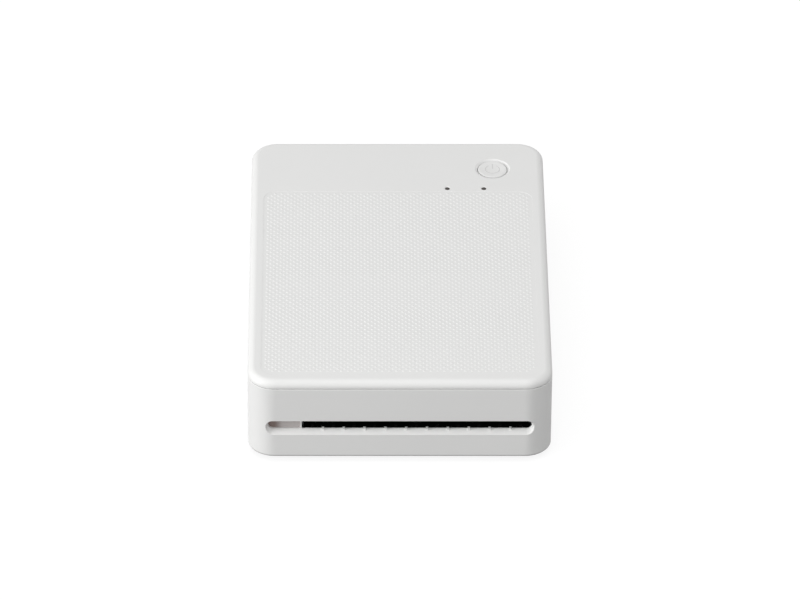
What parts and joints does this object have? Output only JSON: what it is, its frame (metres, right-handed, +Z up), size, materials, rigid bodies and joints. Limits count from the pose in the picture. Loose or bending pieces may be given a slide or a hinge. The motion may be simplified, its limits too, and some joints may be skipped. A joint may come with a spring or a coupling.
{
  "type": "compact photo printer",
  "caption": "Flat battery photo printer with a hinged top cover, front paper slot, film cassette, paper tray, print head and geared rollers.",
  "frame": {"origin": "on the surface the feet stand on, under the middle of the body's footprint", "axes": "+X to the right seen from the front, +Y from the paper slot towards the hinge, +Z up"},
  "size_m": [0.1022, 0.1458, 0.0329],
  "materials": {
    "shell": "fine matte moulded white",
    "base_plastic": "matte moulded white",
    "dark_plastic": "matte black acetal",
    "tray_plastic": "matte dark grey",
    "cassette_plastic": "matte dark grey",
    "gear_plastic": "natural acetal",
    "light_pipe": "dark translucent acrylic",
    "film": "glossy dark film",
    "battery_wrap": "satin shrink wrap",
    "circuit_board": "solder mask",
    "photo_paper": "satin",
    "rubber": "matte",
    "sheet_steel": "zinc plated",
    "ground_steel": "ground",
    "screw_zinc": "zinc plated",
    "motor_zinc": "zinc plated",
    "spring_steel": "bright drawn",
    "pinion_brass": "machined",
    "heat_sink": "extruded, clear anodised",
    "ceramic_head": "glazed"
  },
  "bodies": {
    "housing": {"lower_housing": "shell", "bottom_plate": "base_plastic", "rubber_feet": "rubber", "bottom_screws": "screw_zinc", "left_side_plate": "sheet_steel", "right_side_plate": "sheet_steel", "gear_plate": "sheet_steel", "frame_screws": "screw_zinc", "bushes": "dark_plastic", "idler_axles": "ground_steel", "motor": "motor_zinc", "motor_screws": "screw_zinc", "exit_guide": "dark_plastic", "paper_guide": "dark_plastic", "cassette_shell": "cassette_plastic", "ribbon_film": "film", "paper_tray": "tray_plastic", "paper_stack": "photo_paper", "battery_pack": "battery_wrap", "main_board": "circuit_board", "board_screws": "screw_zinc", "usb_socket": "ground_steel"},
    "cover": {"top_cover": "shell", "hinge_pins": "ground_steel", "cover_inner_plate": "tray_plastic", "inner_plate_screws": "screw_zinc", "button_board": "circuit_board", "light_pipes": "light_pipe", "cover_keeper": "dark_plastic", "head_springs": "spring_steel", "press_springs": "spring_steel"},
    "head": {"head_bracket": "sheet_steel", "head_heatsink": "heat_sink", "thermal_head": "ceramic_head"},
    "press_plate": {"paper_press_plate": "tray_plastic"},
    "power_button": {"power_button": "shell"},
    "release_switch": {"release_switch": "shell"},
    "capstan": {"capstan_shaft": "ground_steel", "capstan_gear": "gear_plastic"},
    "motor_rotor": {"motor_pinion": "pinion_brass"},
    "pinch": {"pinch_roller": "dark_plastic"},
    "platen": {"platen_shaft": "ground_steel", "platen_roller": "rubber"},
    "exit_idler": {"exit_idler": "gear_plastic"},
    "exit": {"exit_shaft": "ground_steel", "exit_tyres": "rubber", "exit_gear": "gear_plastic"},
    "takeup": {"takeup_drive": "gear_plastic", "takeup_spool": "gear_plastic", "takeup_film": "film"},
    "supply": {"supply_spool": "gear_plastic", "supply_film": "film"},
    "feed_idler": {"feed_idler": "gear_plastic"},
    "feed": {"feed_shaft": "ground_steel", "feed_roller": "rubber", "feed_gear": "gear_plastic"}
  },
  "joints": [
    {"name": "cover_hinge", "type": "hinge", "parent": "housing", "child": "cover", "pos_m": [0, 0.0705, 0.0305], "axis": [-1, 0, 0], "range_deg": [0, 75]},
    {"name": "power_button_press", "type": "slide", "parent": "cover", "child": "power_button", "axis": [0, 0, -1], "range_m": [0, 0.0006], "stiffness_N_per_m": 1500},
    {"name": "cover_release_slide", "type": "slide", "parent": "housing", "child": "release_switch", "axis": [0, 1, 0], "range_m": [0, 0.003], "stiffness_N_per_m": 300},
    {"name": "head_press_slide", "type": "slide", "parent": "cover", "child": "head", "axis": [0, 0, 1], "range_m": [0, 0.001], "stiffness_N_per_m": 2000, "deforming": ["head_springs"]},
    {"name": "press_plate_slide", "type": "slide", "parent": "cover", "child": "press_plate", "axis": [0, 0, 1], "range_m": [0, 0.001], "stiffness_N_per_m": 500, "deforming": ["press_springs"]},
    {"name": "capstan_spin", "type": "hinge", "parent": "housing", "child": "capstan", "pos_m": [0, -0.041, 0.0115], "axis": [1, 0, 0], "continuous": true},
    {"name": "motor_spin", "type": "hinge", "parent": "housing", "child": "motor_rotor", "pos_m": [0, -0.041, 0.0195], "axis": [1, 0, 0], "continuous": true},
    {"name": "pinch_spin", "type": "hinge", "parent": "housing", "child": "pinch", "pos_m": [0, -0.041, 0.0163], "axis": [1, 0, 0], "continuous": true},
    {"name": "platen_spin", "type": "hinge", "parent": "housing", "child": "platen", "pos_m": [0, -0.0485, 0.0095], "axis": [1, 0, 0], "continuous": true},
    {"name": "exit_idler_spin", "type": "hinge", "parent": "housing", "child": "exit_idler", "pos_m": [0, -0.05131, 0.01351], "axis": [1, 0, 0], "continuous": true},
    {"name": "exit_spin", "type": "hinge", "parent": "housing", "child": "exit", "pos_m": [0, -0.0615, 0.011], "axis": [1, 0, 0], "continuous": true},
    {"name": "takeup_spin", "type": "hinge", "parent": "housing", "child": "takeup", "pos_m": [0, -0.061, 0.02099], "axis": [1, 0, 0], "continuous": true},
    {"name": "supply_spin", "type": "hinge", "parent": "housing", "child": "supply", "pos_m": [0, -0.033, 0.02099], "axis": [1, 0, 0], "continuous": true},
    {"name": "feed_idler_spin", "type": "hinge", "parent": "housing", "child": "feed_idler", "pos_m": [0, -0.0305, 0.01125], "axis": [1, 0, 0], "continuous": true},
    {"name": "feed_spin", "type": "hinge", "parent": "housing", "child": "feed", "pos_m": [0, -0.022, 0.0083], "axis": [1, 0, 0], "continuous": true}
  ],
  "couplings": [
    {"joint": "motor_spin", "follows": "capstan_spin", "ratio": -1.6667},
    {"joint": "pinch_spin", "follows": "capstan_spin", "ratio": -1.25},
    {"joint": "platen_spin", "follows": "capstan_spin", "ratio": 0.55556},
    {"joint": "exit_idler_spin", "follows": "capstan_spin", "ratio": -0.90909},
    {"joint": "exit_spin", "follows": "capstan_spin", "ratio": 1},
    {"joint": "takeup_spin", "follows": "capstan_spin", "ratio": -1},
    {"joint": "supply_spin", "follows": "capstan_spin", "ratio": -1},
    {"joint": "feed_idler_spin", "follows": "capstan_spin", "ratio": -0.90909},
    {"joint": "feed_spin", "follows": "capstan_spin", "ratio": 1.4286}
  ]
}
